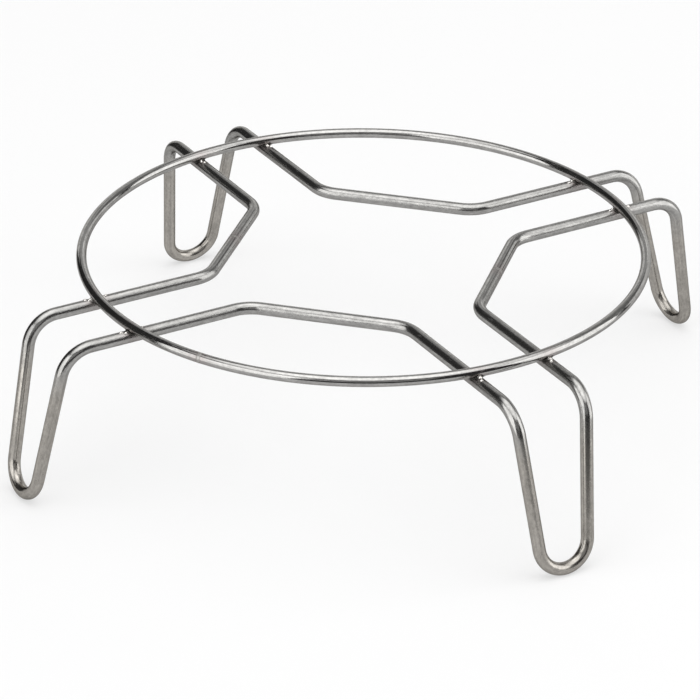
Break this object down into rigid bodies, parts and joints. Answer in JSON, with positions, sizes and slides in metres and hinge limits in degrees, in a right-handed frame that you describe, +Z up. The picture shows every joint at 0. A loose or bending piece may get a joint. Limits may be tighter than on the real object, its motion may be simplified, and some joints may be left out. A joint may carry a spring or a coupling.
{
  "type": "burner stand",
  "caption": "Low welded wire stand: a round support ring on looped, splayed wire legs, for holding a pot or a burner's load over a propane flame.",
  "frame": {"origin": "on the floor, under the middle of the ring", "axes": "+Z up through the middle of the ring; the arms and legs lie along +X (right), +Y (back), -X (left) and -Y (front)"},
  "size_m": [0.304, 0.304, 0.0714],
  "materials": {
    "ring_wire": "bright drawn stainless steel wire",
    "frame_wire": "bright drawn stainless steel wire",
    "weld_metal": "polished weld metal, slightly darker than the wire"
  },
  "bodies": {
    "root": {"ring": "ring_wire", "ring_butt_weld": "weld_metal", "front_left_leg_wire": "frame_wire", "back_right_leg_wire": "frame_wire", "left_butt_weld": "weld_metal", "right_butt_weld": "weld_metal", "right_arm_front_weld": "weld_metal", "right_arm_back_weld": "weld_metal", "back_arm_right_weld": "weld_metal", "back_arm_left_weld": "weld_metal", "left_arm_back_weld": "weld_metal", "left_arm_front_weld": "weld_metal", "front_arm_left_weld": "weld_metal", "front_arm_right_weld": "weld_metal"}
  },
  "joints": []
}
